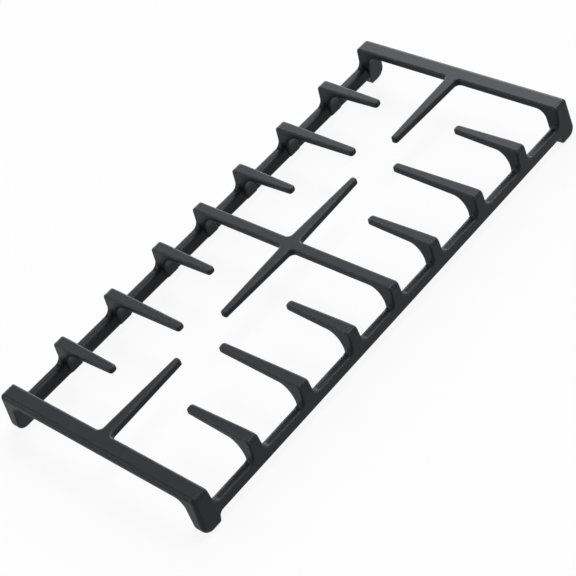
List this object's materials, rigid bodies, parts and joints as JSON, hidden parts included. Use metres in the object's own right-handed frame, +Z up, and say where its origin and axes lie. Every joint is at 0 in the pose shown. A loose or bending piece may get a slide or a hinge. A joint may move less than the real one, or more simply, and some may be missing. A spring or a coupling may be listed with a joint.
{
  "type": "hob pan support",
  "caption": "Cast-iron pan support for a gas hob with burners one behind the other: low side rails, end bars on flared legs, and fingers that reach in from posts.",
  "frame": {"origin": "on the plane the feet stand on, below the middle of the centre bar", "axes": "+X across the support, +Y along it from the front burner to the back burner, +Z up"},
  "size_m": [0.2238, 0.488, 0.0397],
  "materials": {
    "enamel": "satin black enamel over cast iron"
  },
  "bodies": {
    "root": {"pan_support": "enamel"}
  },
  "joints": []
}
